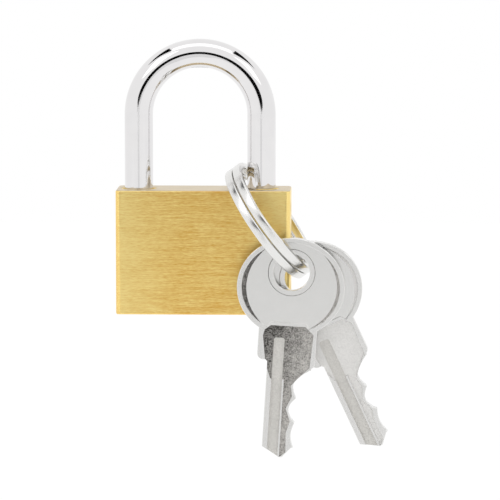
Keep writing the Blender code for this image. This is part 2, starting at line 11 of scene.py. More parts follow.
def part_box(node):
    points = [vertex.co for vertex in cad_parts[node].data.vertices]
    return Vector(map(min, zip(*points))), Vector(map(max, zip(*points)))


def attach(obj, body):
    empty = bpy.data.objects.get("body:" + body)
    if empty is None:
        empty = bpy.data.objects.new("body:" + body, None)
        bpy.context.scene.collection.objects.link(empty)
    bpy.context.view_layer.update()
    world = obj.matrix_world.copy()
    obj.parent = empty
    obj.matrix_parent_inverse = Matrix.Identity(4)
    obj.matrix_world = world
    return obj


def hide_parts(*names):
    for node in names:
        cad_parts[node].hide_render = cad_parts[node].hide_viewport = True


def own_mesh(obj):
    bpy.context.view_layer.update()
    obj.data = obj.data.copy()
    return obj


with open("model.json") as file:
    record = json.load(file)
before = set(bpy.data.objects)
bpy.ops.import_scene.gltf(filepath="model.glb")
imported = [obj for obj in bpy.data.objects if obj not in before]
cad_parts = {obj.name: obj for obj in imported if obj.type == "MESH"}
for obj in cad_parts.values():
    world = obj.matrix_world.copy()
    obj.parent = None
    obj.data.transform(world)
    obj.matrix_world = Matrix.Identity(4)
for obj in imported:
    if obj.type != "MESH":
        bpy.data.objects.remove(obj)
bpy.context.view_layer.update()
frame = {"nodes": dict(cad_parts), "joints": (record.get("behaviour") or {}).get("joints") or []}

MM = 0.001
OVER = 1.0 * MM  # how far a cutter runs past the face that it cuts
OVERLAP = 0.1 * MM  # how far two joining cutters run into each other

# Sizes read from the frame
BODY_LOW, BODY_HIGH = (Vector(corner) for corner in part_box("lock_body"))
SHACKLE_LOW, SHACKLE_HIGH = (Vector(corner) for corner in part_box("shackle"))
PLUG_LOW, PLUG_HIGH = (Vector(corner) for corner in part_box("plug"))
LATCH_LOW, LATCH_HIGH = (Vector(corner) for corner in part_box("latch"))
BODY_TOP = BODY_HIGH.z
BAR_RADIUS = (SHACKLE_HIGH.y - SHACKLE_LOW.y) / 2
LEG_X = SHACKLE_HIGH.x - BAR_RADIUS
PLUG_RADIUS = (PLUG_HIGH.x - PLUG_LOW.x) / 2
PLUG_X = (PLUG_HIGH.x + PLUG_LOW.x) / 2
LATCH_Z = (LATCH_HIGH.z + LATCH_LOW.z) / 2
SWING = {joint["name"]: Vector(joint["pos_m"]) for joint in frame["joints"] if joint["type"] == "hinge"}

# Body block
CORNER_RADIUS = 0.8 * MM
EDGE_BREAK = 0.25 * MM
LEG_HOLE_RADIUS = BAR_RADIUS + 0.5 * MM
HEEL_HOLE_DEPTH = 18.0 * MM
TOE_HOLE_DEPTH = 6.9 * MM
HOLE_LEAD = 0.25 * MM
PIN_LEVELS = [(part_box(f"chamber_cap_{i}")[0][2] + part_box(f"chamber_cap_{i}")[1][2]) / 2 for i in (1, 2, 3)]
PIN_BORE = 1.1 * MM
LATCH_BORE = 1.3 * MM
SIDE_PIN_BORE = 0.75 * MM
BACK_PIN_BORE = 0.65 * MM
PLUG_BORE = PLUG_RADIUS + 0.1 * MM
PLUG_TOP = BODY_TOP - 5.3 * MM
CAM_POCKET = 1.54 * MM
CAM_POCKET_TOP = LATCH_Z + 0.3 * MM
LATCH_SPRING_ROOM = 3.1 * MM

# Shackle
TOE_END = BODY_TOP - 6.0 * MM
LEG_CHAMFER = 0.4 * MM
GROOVE_FLOOR = BAR_RADIUS - 0.625 * MM
GROOVE_TOP = LATCH_Z + 0.75 * MM
GROOVE_END = LATCH_Z - 7.05 * MM
NOTCH_DEPTH = 1.55 * MM
NOTCH_HALF = 1.5 * MM

# Springs: turns and wire radius
PIN_SPRING = (6.0, 0.12 * MM)
LATCH_SPRING = (5.0, 0.15 * MM)
SHACKLE_SPRING = (5.0, 0.25 * MM)

# Split ring
RING_RADIUS = 11.16 * MM
WIRE_RADIAL = 1.2 * MM
WIRE_AXIAL = 1.5 * MM
LAYER_GAP = 0.15 * MM
WIRE_ROUNDING = 0.3 * MM
RING_CENTRE = Vector((12.17, -1.94, -26.233)) * MM
RING_LEAN = radians(35.8)
RING_TURN = radians(6.4)
RING_JOG = radians(24.0)
RING_JOG_AT = radians(235.0)

# Keys: a runs from the hole's centre to the tip, b across towards the cuts
KEY_THICKNESS = 1.8 * MM
KEY_HOLE = 3.1 * MM
COLLAR = 3.9 * MM
BOW_CENTRE = 2.6 * MM
BOW_HALF_LENGTH = 8.5 * MM
BOW_HALF_WIDTH = 9.2 * MM
NECK = 5.0 * MM
SHOULDER_BACK = 15.2 * MM
SHOULDER_CUT = 16.4 * MM
SHOULDER_RADIUS = 1.0 * MM
BLADE_BACK = 3.2 * MM
BLADE_CUT = 2.1 * MM
BLADE_END = 30.2 * MM
KEY_TIP = 31.9 * MM
TIP_B = 0.0
CUT_ROOTS = (1.5 * MM, 0.95 * MM, 1.6 * MM)
SHOULDER_CORNER = 4.4 * MM
FIRST_CUT = 19.4 * MM
CUT_PITCH = 4.3 * MM
RIM = 0.75 * MM
RECESS = 0.25 * MM
PATCH_DEPTH = 0.32 * MM
FACE_END = 9.6 * MM
CUTTER = 1.0 * MM
GROOVE_CUT = 0.55 * MM
HALO = 0.14 * MM
# Crescents inside the bow's rim (start and end angle in degrees, widest width) take the grain as painted shade
RIM_SHADE_CRESCENTS = ((125, 235, 0.8 * MM), (-65, 50, 0.5 * MM))
SOFT_EDGE = 0.1 * MM
KEY_TILTS = {"key_front": radians(-3.6), "key_back": radians(25.0)}

# Finishes: the brass's painted highlight bands as (millimetres along X, strength), and where the keys' grain pales
BRASS_PAINTED_HIGHLIGHT = ((-14.2, 0.2), (-13.4, 0.65), (-9.0, 0.3), (-4.0, 0.0), (8.0, 0.0), (12.5, 0.75), (15.2, 0.7))
# Above this height the block's top face takes a greyer brass: a painted reflection of the light glancing off it
PAINTED_TOP_FROM = BODY_TOP - 0.12 * MM
GRAIN_TOP, GRAIN_FOOT = -44.0 * MM, -62.0 * MM
GRAIN_LEFT, GRAIN_RIGHT = 13.5 * MM, 19.0 * MM

# Camera and studio
VIEW_AZIMUTH = radians(2.0)
VIEW_ELEVATION = radians(6.47)
VIEW_DISTANCE = 0.6
VIEW_WIDTH = 86.4 * MM
VIEW_CENTRE = Vector((8.59, 0.0, -31.58)) * MM
SENSOR = 36.0
FLOOR_HALF = 4.0
FLOOR_Z = -0.45
CARD_AIM = Vector((0.0, 0.0, -0.005))
LAMP_AIM = Vector((0.01, 0.0, -0.03))
WHITE = (1.0, 1.0, 1.0)
BLACK = (0.0, 0.0, 0.0)


class Value:
    """A node's output that can be used in Python arithmetic."""

    def __init__(self, graph, socket):
        self.graph = graph
        self.socket = socket

    def _math(self, operation, first, second):
        return self.graph.node("ShaderNodeMath", {"operation": operation}, {0: first, 1: second})

    def __add__(self, other):
        return self._math("ADD", self, other)

    __radd__ = __add__

    def __mul__(self, other):
        return self._math("MULTIPLY", self, other)

    __rmul__ = __mul__


class Graph:
    """A material's node tree with a Principled shader."""

    def __init__(self, name, **constants):
        self.material = bpy.data.materials.new(name)
        self.material.use_nodes = True
        self.tree = self.material.node_tree
        self.shader = self.tree.nodes["Principled BSDF"]
        for socket, value in constants.items():
            self.shader.inputs[socket.replace("_", " ")].default_value = value

    def node(self, kind, settings=None, values=None, output=0):
        made = self.tree.nodes.new(kind)
        for name, value in (settings or {}).items():
            if name == "ramp":
                while len(made.color_ramp.elements) < len(value):
                    made.color_ramp.elements.new(0.5)
                for element, (position, colour) in zip(made.color_ramp.elements, value):
                    element.position = position
                    element.color = colour
            else:
                setattr(made, name, value)
        for key, value in (values or {}).items():
            self.feed(made.inputs[key], value)
        return Value(self, made.outputs[output])

    def feed(self, socket, value):
        if isinstance(value, Value):
            self.tree.links.new(value.socket, socket)
        else:
            socket.default_value = value

    def shade(self, socket, value):
        self.feed(self.shader.inputs[socket], value)

    def place(self, scale=(1, 1, 1)):
        """Object coordinates, in metres, stretched by the scale."""
        where = self.node("ShaderNodeTexCoord", output="Object")
        return self.node("ShaderNodeMapping", None, {"Vector": where, "Scale": scale})

    def noise(self, grain, detail=2.0, roughness=0.5):
        """Noise whose grains have the size given along X, Y and Z."""
        values = {"Vector": self.place([1 / size for size in grain]), "Scale": 1.0}
        values.update({"Detail": detail, "Roughness": roughness})
        return self.node("ShaderNodeTexNoise", None, values, output="Fac")

    def ramp(self, factor, *stops):
        """A number that follows the stops, given as (position, value)."""
        grey = [(position, (value, value, value, 1.0)) for position, value in stops]
        return self.node("ShaderNodeValToRGB", {"ramp": grey}, {"Fac": factor})

    def blend(self, factor, first, second):
        """One colour giving way to another as the factor goes from 0 to 1."""
        first, second = (tint if isinstance(tint, Value) else (*tint, 1.0) for tint in (first, second))
        return self.node("ShaderNodeMix", {"data_type": "RGBA"}, {0: factor, 6: first, 7: second}, output=2)

    def bump(self, height, depth, strength=1.0):
        values = {"Strength": strength, "Distance": depth, "Height": height}
        self.shade("Normal", self.node("ShaderNodeBump", None, values))


def brushed_brass():
    graph = Graph("brushed_brass", Metallic=1.0)
    fine = graph.noise((0.9 * MM, 0.09 * MM, 0.09 * MM), detail=2.0, roughness=0.7)
    streak = graph.noise((5.0 * MM, 0.2 * MM, 0.15 * MM), detail=2.0)
    patch = graph.noise((6.0 * MM, 4.0 * MM, 3.0 * MM), detail=2.0)
    tone = graph.ramp(fine * 0.5 + streak * 0.38 + patch * 0.12, (0.38, 0.0), (0.63, 1.0))
    colour = graph.blend(tone, (0.76, 0.42, 0.08), (1.0, 0.79, 0.3))
    across = graph.node("ShaderNodeSeparateXYZ", None, {0: graph.place()}, output="X")
    along = graph.node("ShaderNodeMapRange", None, {0: across, 1: BODY_LOW.x, 2: BODY_HIGH.x, 3: 0.0, 4: 1.0})
    width = BODY_HIGH.x - BODY_LOW.x
    # Pale streaky bands towards the block's left and right edges: painted highlight standing in for the lamps' glare
    # on the front
    edges = graph.ramp(along, *[((x * MM - BODY_LOW.x) / width, value) for x, value in BRASS_PAINTED_HIGHLIGHT])
    colour = graph.blend(edges * (0.2 + 1.6 * fine), colour, (1.0, 0.81, 0.33))
    height = graph.node("ShaderNodeSeparateXYZ", None, {0: graph.place()}, output="Z")
    end_face = graph.node("ShaderNodeMath", {"operation": "GREATER_THAN"}, {0: height, 1: PAINTED_TOP_FROM})
    # The top face's greyer brass is painted reflection of the light glancing off it
    painted_top_reflection = graph.blend(tone, (0.56, 0.45, 0.28), (0.72, 0.61, 0.42))
    whole = graph.blend(end_face, colour, painted_top_reflection)
    graph.shade("Base Color", whole)
    graph.shade("Roughness", 0.24 + 0.2 * fine)
    graph.bump(fine * 0.6 + streak * 0.4, 0.02 * MM, 0.9)
    return graph.material


def turned_brass():
    graph = Graph("turned_brass", Metallic=1.0)
    fine = graph.noise((0.25 * MM, 0.25 * MM, 0.25 * MM), detail=3.0)
    colour = graph.blend(fine, (0.62, 0.41, 0.14), (0.84, 0.61, 0.25))
    graph.shade("Base Color", colour)
    graph.shade("Roughness", 0.22 + 0.2 * fine)
    graph.bump(fine, 0.01 * MM, 0.6)
    return graph.material


def chrome():
    graph = Graph("chrome", Metallic=1.0)
    haze = graph.noise((3.0 * MM, 3.0 * MM, 3.0 * MM), detail=2.0)
    fine = graph.noise((0.2 * MM, 0.2 * MM, 0.9 * MM), detail=2.0)
    colour = graph.blend(haze, (0.76, 0.75, 0.755), (0.82, 0.81, 0.81))
    graph.shade("Base Color", colour)
    graph.shade("Roughness", 0.035 + 0.04 * haze)
    graph.bump(fine, 0.001 * MM, 0.3)
    return graph.material


def nickel(name, base, spread):
    """Bright plating; base and spread are its lowest roughness and how far that varies."""
    graph = Graph(name, Metallic=1.0)
    haze = graph.noise((2.2 * MM, 2.2 * MM, 2.2 * MM), detail=3.0)
    fine = graph.noise((0.18 * MM, 0.18 * MM, 0.18 * MM), detail=2.0)
    colour = graph.blend(haze, (0.75, 0.745, 0.73), (0.82, 0.815, 0.8))
    graph.shade("Base Color", colour)
    graph.shade("Roughness", base + spread * haze)
    graph.bump(fine * 0.5 + haze * 0.5, 0.002 * MM, 0.4)
    return graph.material


def stamped_grain(name, dark, light, falloff):
    """The sand-textured floor stamped into a key; falloff is how far it pales down the blade."""
    graph = Graph(name, Metallic=1.0)
    speck = graph.noise((0.2 * MM, 0.2 * MM, 0.2 * MM), detail=4.0, roughness=0.75)
    cloud = graph.noise((1.2 * MM, 1.2 * MM, 1.6 * MM), detail=2.0)
    place = graph.place()
    height = graph.node("ShaderNodeSeparateXYZ", None, {0: place}, output="Z")
    across = graph.node("ShaderNodeSeparateXYZ", None, {0: place}, output="X")
    down = graph.node("ShaderNodeMapRange", None, {0: height, 1: GRAIN_TOP, 2: GRAIN_FOOT, 3: 0.0, 4: falloff})
    span = {1: GRAIN_LEFT, 2: GRAIN_RIGHT, 3: -falloff / 2, 4: falloff / 2}
    aside = graph.node("ShaderNodeMapRange", None, {0: across, **span})
    tone = graph.ramp(speck * 0.85 + cloud * 0.15 + down + aside, (0.36, 0.0), (0.66, 1.0))
    colour = graph.blend(tone, dark, light)
    graph.shade("Base Color", colour)
    graph.shade("Roughness", 0.42 + 0.25 * speck)
    graph.bump(speck, 0.04 * MM, 0.6)
    return graph.material


def spring_steel():
    graph = Graph("spring_steel", Metallic=1.0)
    fine = graph.noise((0.15 * MM, 0.15 * MM, 0.4 * MM), detail=2.0)
    colour = graph.blend(fine, (0.45, 0.45, 0.46), (0.66, 0.67, 0.68))
    graph.shade("Base Color", colour)
    graph.shade("Roughness", 0.2 + 0.2 * fine)
    graph.bump(fine, 0.004 * MM, 0.5)
    return graph.material


def add_piece(name, mesh, materials, sharp=35, flat=()):
    """A finished piece at the origin, with its place in its mesh; faces square to the flat directions stay flat."""
    piece = bpy.data.objects.new(name, mesh)
    mesh.materials.clear()
    for look in materials:
        mesh.materials.append(look)
    mesh.shade_smooth()
    mesh.set_sharp_from_angle(angle=radians(sharp))
    for polygon in mesh.polygons:
        if any(abs(polygon.normal.dot(Vector(way))) > 0.99999 for way in flat):
            polygon.use_smooth = False
    bpy.context.scene.collection.objects.link(piece)
    return piece


def helper(name, data):
    obj = bpy.data.objects.new(name, data)
    bpy.context.scene.collection.objects.link(obj)
    return obj


def baked(obj):
    """The evaluated mesh of an object in world space, with its doubles merged; the object is removed."""
    bpy.context.view_layer.update()
    graph = bpy.context.evaluated_depsgraph_get()
    mesh = bpy.data.meshes.new_from_object(obj.evaluated_get(graph))
    mesh.transform(obj.matrix_world)
    bm = bmesh.new()
    bm.from_mesh(mesh)
    bmesh.ops.remove_doubles(bm, verts=bm.verts[:], dist=0.001 * MM)
    bmesh.ops.recalc_face_normals(bm, faces=bm.faces[:])
    bm.to_mesh(mesh)
    bm.free()
    bpy.data.objects.remove(obj)
    return mesh


def boolean(mesh, others):
    """The mesh with each of the others cut from it."""
    obj = helper("blank", mesh)
    tools = []
    for other in others:
        tools.append(helper("tool", other))
        modifier = obj.modifiers.new("cut", "BOOLEAN")
        modifier.operation = "DIFFERENCE"
        modifier.object = tools[-1]
    bpy.context.view_layer.update()
    graph = bpy.context.evaluated_depsgraph_get()
    made = bpy.data.meshes.new_from_object(obj.evaluated_get(graph))
    for item in (obj, *tools):
        bpy.data.objects.remove(item)
    return made


def mesh_of(build):
    mesh = bpy.data.meshes.new("shape")
    bm = bmesh.new()
    build(bm)
    bmesh.ops.recalc_face_normals(bm, faces=bm.faces[:])
    bm.to_mesh(mesh)
    bm.free()
    return mesh


def rod(start, end, radius, steps=64, end_radius=None):
    start = Vector(start)
    along = Vector(end) - start
    turn = Vector((0, 0, 1)).rotation_difference(along).to_matrix().to_4x4()
    place = Matrix.Translation(start + along / 2) @ turn
    top = radius if end_radius is None else end_radius
    return mesh_of(lambda bm: bmesh.ops.create_cone(
        bm, cap_ends=True, segments=steps, radius1=radius, radius2=top, depth=along.length, matrix=place
    ))


def box(low, high):
    low, high = Vector(low), Vector(high)
    size = Matrix.Diagonal((*(high - low), 1.0))
    place = Matrix.Translation((low + high) / 2) @ size
    return mesh_of(lambda bm: bmesh.ops.create_cube(bm, size=1.0, matrix=place))


def turned(profile, centre_x, steps=96):
    """A shape turned about an upright axis from a closed (radius, height) profile."""
    def build(bm):
        verts = [bm.verts.new((radius, 0, height)) for radius, height in profile]
        edges = [bm.edges.new(pair) for pair in zip(verts, verts[1:] + verts[:1])]
        bmesh.ops.spin(
            bm, geom=[*edges, *verts], axis=(0, 0, 1), cent=(0, 0, 0), angle=2 * pi, steps=steps, use_merge=True
        )
        bmesh.ops.remove_doubles(bm, verts=bm.verts[:], dist=0.0005 * MM)
        bmesh.ops.delete(bm, geom=[e for e in bm.edges if not e.link_faces], context="EDGES")
    mesh = mesh_of(build)
    mesh.transform(Matrix.Translation((centre_x, 0, 0)))
    return mesh


def lock_body():
    def build(bm):
        centre = (BODY_LOW + BODY_HIGH) / 2
        size = Matrix.Diagonal((*(BODY_HIGH - BODY_LOW), 1.0))
        bmesh.ops.create_cube(bm, size=1.0, matrix=Matrix.Translation(centre) @ size)
        tall = (BODY_HIGH.z - BODY_LOW.z) / 2
        upright = [e for e in bm.edges if abs((e.verts[0].co - e.verts[1].co).z) > tall]
        bmesh.ops.bevel(bm, geom=upright, offset=CORNER_RADIUS, segments=10, profile=0.5, affect="EDGES")
        rims = [e for e in bm.edges if sum(abs(f.normal.z) > 0.9 for f in e.link_faces) == 1]
        bmesh.ops.bevel(bm, geom=rims, offset=EDGE_BREAK, segments=4, profile=0.5, affect="EDGES")

    cuts = []
    for side, depth in ((-1, HEEL_HOLE_DEPTH), (1, TOE_HOLE_DEPTH)):
        x = side * LEG_X
        cuts.append(rod((x, 0, BODY_TOP - depth), (x, 0, BODY_TOP + OVER), LEG_HOLE_RADIUS, 96))
        wide = LEG_HOLE_RADIUS + HOLE_LEAD + OVER
        cuts.append(rod((x, 0, BODY_TOP - HOLE_LEAD), (x, 0, BODY_TOP + OVER), LEG_HOLE_RADIUS, 96, wide))
    cuts.append(rod((PLUG_X, 0, BODY_LOW.z - OVER), (PLUG_X, 0, PLUG_TOP + OVERLAP), PLUG_BORE, 96))
    cuts.append(rod((PLUG_X, 0, PLUG_TOP - OVERLAP), (PLUG_X, 0, CAM_POCKET_TOP), CAM_POCKET, 48))
    right = BODY_HIGH.x + OVER
    cuts.append(rod((LATCH_LOW.x - LATCH_SPRING_ROOM, 0, LATCH_Z), (right, 0, LATCH_Z), LATCH_BORE, 48))
    cuts.append(rod((BODY_LOW.x - OVER, 0, LATCH_Z), (-LEG_X, 0, LATCH_Z), SIDE_PIN_BORE, 40))
    for level in PIN_LEVELS:
        cuts.append(rod((PLUG_X, 0, level), (right, 0, level), PIN_BORE, 40))
    pin_low, pin_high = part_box("plug_retaining_pin")
    pin_x, pin_z = (pin_low[0] + pin_high[0]) / 2, (pin_low[2] + pin_high[2]) / 2
    cuts.append(rod((pin_x, pin_low[1] - OVERLAP, pin_z), (pin_x, BODY_HIGH.y + OVER, pin_z), BACK_PIN_BORE, 40))
    mesh = boolean(mesh_of(build), cuts)
    piece = add_piece("brass_block", mesh, [BRASS], flat=((1, 0, 0), (0, 1, 0), (0, 0, 1)))
    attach(piece, "body")
    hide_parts("lock_body")


def tube(points, radius, resolution):
    curve = bpy.data.curves.new("tube", "CURVE")
    curve.dimensions = "3D"
    curve.bevel_depth = radius
    curve.bevel_resolution = resolution
    curve.use_fill_caps = True
    spline = curve.splines.new("POLY")
    spline.points.add(len(points) - 1)
    for point, place in zip(spline.points, points):
        point.co = (*place, 1.0)
    return baked(helper("tube", curve))


def shackle():
    centre_z = SHACKLE_HIGH.z - BAR_RADIUS - LEG_X
    steps = 96
    arch = [(LEG_X * cos(pi * i / steps), 0, centre_z + LEG_X * sin(pi * i / steps)) for i in range(steps + 1)]
    mesh = tube([(LEG_X, 0, TOE_END), *arch, (-LEG_X, 0, SHACKLE_LOW.z)], BAR_RADIUS, 22)
    bm = bmesh.new()
    bm.from_mesh(mesh)
    rims = [e for e in bm.edges if sum(f.normal.z < -0.99 for f in e.link_faces) == 1]
    bmesh.ops.bevel(bm, geom=rims, offset=LEG_CHAMFER, segments=3, profile=0.5, affect="EDGES")
    bm.to_mesh(mesh)
    bm.free()
    outer = LEG_HOLE_RADIUS
    groove = [(outer, GROOVE_TOP), (outer, GROOVE_END), (GROOVE_FLOOR, GROOVE_END), (GROOVE_FLOOR, GROOVE_TOP)]
    inner = LEG_X - BAR_RADIUS
    notch = box(
        (inner - OVER, -BAR_RADIUS - OVER, LATCH_Z - NOTCH_HALF),
        (inner + NOTCH_DEPTH, BAR_RADIUS + OVER, LATCH_Z + NOTCH_HALF),
    )
    piece = add_piece("chrome_shackle", boolean(mesh, [turned(groove, -LEG_X), notch]), [CHROME])
    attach(piece, "shackle")
    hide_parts("shackle")


def rounded_section(half_x, half_y, radius, steps=4):
    """A rectangle with round corners, as points going round once."""
    points = []
    for corner, (sx, sy) in enumerate(((1, 1), (-1, 1), (-1, -1), (1, -1))):
        for i in range(steps + 1):
            angle = pi / 2 * (corner + i / steps)
            across = sx * (half_x - radius) + radius * cos(angle)
            points.append((across, sy * (half_y - radius) + radius * sin(angle)))
    return points


def split_ring():
    """Two flat turns of wire, with a jog where the wire steps from one turn to the other."""
    down = Vector((sin(RING_LEAN), 0, -cos(RING_LEAN)))
    side = Vector((-cos(RING_LEAN), 0, -sin(RING_LEAN)))
    front = Vector((0, -1, 0)) * cos(RING_TURN) + side * sin(RING_TURN)
    place = Matrix.Translation(RING_CENTRE) @ Matrix((down, front, down.cross(front))).transposed().to_4x4()
    layer = (WIRE_AXIAL + LAYER_GAP) / 2
    middle = RING_RADIUS - WIRE_RADIAL / 2
    half_jog = RING_JOG / 2
    first = half_jog + radians(3)
    last = 4 * pi - first
    section = rounded_section(WIRE_RADIAL / 2, WIRE_AXIAL / 2, WIRE_ROUNDING)
    steps = 420

    def build(bm):
        loops = []
        for i in range(steps + 1):
            angle = first + (last - first) * i / steps
            step = min(max((angle - 2 * pi) / half_jog, -1.0), 1.0)
            height = layer * sin(step * pi / 2)
            slope = layer * cos(step * pi / 2) * pi / 2 / half_jog / middle if abs(step) < 1 else 0.0
            spot = angle + RING_JOG_AT
            radial = Vector((cos(spot), sin(spot), 0))
            upward = Vector((sin(spot) * slope, -cos(spot) * slope, 1)).normalized()
            taper = min(1.0, 0.82 + 0.18 * min(i, steps - i) / 3)
            rise = Vector((0, 0, height))
            loops.append([
                bm.verts.new(place @ (radial * (middle + x * taper) + upward * y * taper + rise)) for x, y in section
            ])
        for a, b in zip(loops, loops[1:]):
            for j in range(len(section)):
                k = (j + 1) % len(section)
                bm.faces.new((a[j], a[k], b[k], b[j]))
        bm.faces.new(loops[0][::-1])
        bm.faces.new(loops[-1])

    piece = add_piece("split_ring_wire", mesh_of(build), [RING_NICKEL], sharp=50)
    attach(piece, "ring")
    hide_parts("split_ring")


def arc(centre, radii, start, end, steps):
    for i in range(steps + 1):
        angle = start + (end - start) * i / steps
        yield centre[0] + radii[0] * cos(angle), centre[1] + radii[1] * sin(angle)


def bow_arc(inset, steps):
    half_w, half_l = BOW_HALF_WIDTH - inset, BOW_HALF_LENGTH - inset
    share = (NECK - inset) / half_w
    opening = atan2(-((1 - share**2) ** 0.5), share)
    return list(arc((0, -BOW_CENTRE), (half_w, half_l), opening, pi - opening, steps))


def rim_shade_crescent(start, end, width):
    """A thin crescent along the inside of the bow's rim, between two angles; on the front key its dark grain is
    painted shade along the rim.
    """
    half_w, half_l = BOW_HALF_WIDTH - RIM - 0.07 * MM, BOW_HALF_LENGTH - RIM - 0.07 * MM
    outer, inner = [], []
    for i in range(49):
        angle = radians(start + (end - start) * i / 48)
        thick = width * max(sin(pi * i / 48), 0.02) ** 0.7
        outer.append((half_w * cos(angle), half_l * sin(angle) - BOW_CENTRE))
        inner.append(((half_w - thick) * cos(angle), (half_l - thick) * sin(angle) - BOW_CENTRE))
    return outer + inner[::-1]


def key_outline():
    """Bow, neck, shoulders and cut blade, as (b, -a) points."""
    r = SHOULDER_RADIUS
    points = bow_arc(0.0, 120)
    points += list(arc((r - NECK, r - SHOULDER_BACK), (r, r), pi, 1.5 * pi, 8))
    points += [(-BLADE_BACK - 0.3 * MM, -SHOULDER_BACK), (-BLADE_BACK, -SHOULDER_BACK - 0.3 * MM)]
    points += [(-BLADE_BACK, -BLADE_END), (TIP_B - 0.3 * MM, -KEY_TIP), (TIP_B + 0.3 * MM, -KEY_TIP)]
    points.append((BLADE_CUT - 0.3 * MM, -BLADE_END))
    cuts = []
    for number, root in enumerate(CUT_ROOTS):
        for i in range(21):
            share = (i - 10) / 10
            if number or share >= 0:
                along = FIRST_CUT + (number + share * 0.49) * CUT_PITCH
                cuts.append((root + (BLADE_CUT - root) * share**2, -along))
    ramp_start = SHOULDER_CUT + 0.15 * MM
    for i in range(16):
        share = i / 16
        rise = (SHOULDER_CORNER - CUT_ROOTS[0]) * (1 - share) ** 1.7
        cuts.append((CUT_ROOTS[0] + rise, -(ramp_start + (FIRST_CUT - ramp_start) * share)))
    points += sorted(cuts, key=lambda point: point[1])
    points += list(arc((NECK - r, r - SHOULDER_CUT), (r, r), 1.5 * pi, 2 * pi, 8))
    return points


def circle(radius, steps):
    return [(radius * cos(2 * pi * i / steps), radius * sin(2 * pi * i / steps)) for i in range(steps)]


def plate(outlines, thickness, place, soft=0.0):
    """A flat plate from closed outlines, whose edges are rounded by the soft radius."""
    curve = bpy.data.curves.new("plate", "CURVE")
    curve.dimensions = "2D"
    curve.fill_mode = "BOTH"
    curve.extrude = thickness / 2 - soft
    curve.bevel_depth = soft
    curve.bevel_resolution = 2
    curve.offset = -soft
    for outline in outlines:
        spline = curve.splines.new("POLY")
        spline.points.add(len(outline) - 1)
        spline.use_cyclic_u = True
        for point, (across, up) in zip(spline.points, outline):
            point.co = (across, up, 0.0, 1.0)
    obj = helper("plate", curve)
    obj.matrix_world = place
    return baked(obj)


def layer(depth, side=1):
    """Where a cutter's middle stands so that it sinks to the depth below the key's face on that side."""
    return Matrix.Translation((0, 0, side * (KEY_THICKNESS / 2 - depth + CUTTER / 2)))


def millimetres(*points):
    """An outline in metres from (b, a) points in millimetres."""
    return [(b * MM, -a * MM) for b, a in points]


def key_blank():
    """The key's shape about its hole, lying flat, with the level of each stamped floor to tell its finish."""
    blank = plate([key_outline(), circle(KEY_HOLE, 72)[::-1]], KEY_THICKNESS, Matrix(), SOFT_EDGE)
    neck = NECK - RIM - 0.5 * MM
    face = [point for point in bow_arc(RIM, 120) if -point[1] < FACE_END]
    face += [(-neck, -FACE_END), *millimetres((-2.9, 8.7), (3.0, 8.7)), (neck, -FACE_END)]
    cuts = [plate([face, circle(COLLAR, 80)[::-1]], CUTTER, layer(RECESS, side), 0.08 * MM) for side in (1, -1)]
    patch = millimetres(
        (-2.9, 9.2), (-3.95, 10.0), (-4.2, 11.0), (-3.5, 15.8), (-2.5, 18.4), (-0.15, 18.4),
        (-0.15, 31.9), (0.9, 31.0), (0.75, 27.6), (1.3, 25.6), (0.45, 23.4), (1.4, 21.3),
        (1.1, 19.4), (2.2, 18.1), (4.1, 16.2), (4.4, 10.5), (3.0, 9.2),
    )
    cuts.append(plate([patch[::-1]], CUTTER, layer(PATCH_DEPTH)))
    groove = millimetres((-2.3, 32.5), (-0.45, 32.5), (-0.45, 11.6), (-0.7, 11.3), (-2.05, 11.3), (-2.3, 11.6))
    cuts.append(plate([groove], CUTTER, layer(GROOVE_CUT)))
    # Grain crescents inside the rim: painted shade
    cuts += [plate([rim_shade_crescent(*where)], CUTTER, layer(PATCH_DEPTH)) for where in RIM_SHADE_CRESCENTS]
    cuts.append(plate([circle(COLLAR + HALO, 72), circle(COLLAR + HALO / 3, 72)[::-1]], CUTTER, layer(PATCH_DEPTH)))
    mesh = boolean(blank, cuts)
    floors = (KEY_THICKNESS / 2 - PATCH_DEPTH, KEY_THICKNESS / 2 - GROOVE_CUT)
    finishes = []
    for polygon in mesh.polygons:
        near = [abs(polygon.center.z - floor) < 0.01 * MM for floor in floors]
        finishes.append(1 + near.index(True) if any(near) else 0)
    return mesh, finishes


def key(name, grain):
    tilt = KEY_TILTS[name]
    hole = SWING[f"{name}_swing"]
    down = Vector((sin(tilt), 0, -cos(tilt)))
    across = Vector((cos(tilt), 0, sin(tilt)))
    mesh, finishes = key_blank()
    mesh.transform(Matrix.Translation(hole) @ Matrix((across, -down, Vector((0, -1, 0)))).transposed().to_4x4())
    piece = add_piece(f"{name}_blade", mesh, [KEY_NICKEL, grain, GROOVE_NICKEL], sharp=30, flat=((0, 1, 0),))
    mesh.polygons.foreach_set("material_index", finishes)
    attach(piece, name)
    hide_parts(name)


